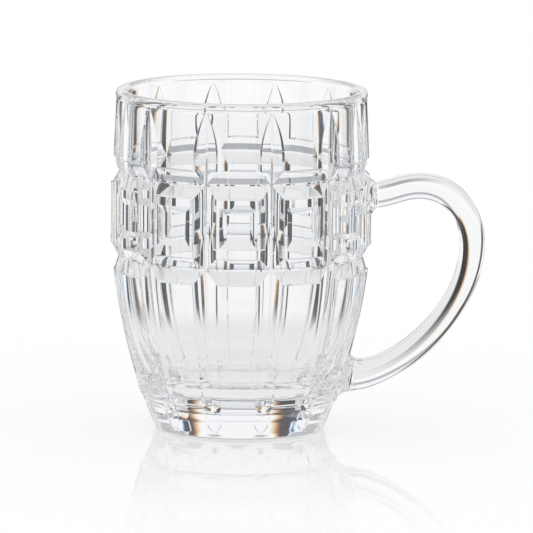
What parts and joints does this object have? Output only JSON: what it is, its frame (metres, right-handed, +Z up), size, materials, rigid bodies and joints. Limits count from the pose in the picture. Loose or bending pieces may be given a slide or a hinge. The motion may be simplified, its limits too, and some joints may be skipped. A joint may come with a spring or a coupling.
{
  "type": "glass tea mug",
  "caption": "Clear glass mug with a faceted, mitre-cut body on a thick base and a looped side handle stuck on at two moulded bosses, for hot or cold drinks.",
  "frame": {"origin": "centre of the flat underside, on the body's axis", "axes": "+Z up along the body's axis, +X towards the handle, -Y towards the side that faces the viewer in the picture"},
  "size_m": [0.1159, 0.0808, 0.106],
  "materials": {
    "clear_glass": "clear, fire-polished, colourless"
  },
  "bodies": {
    "root": {"mug_body": "clear_glass", "handle": "clear_glass"}
  },
  "joints": []
}
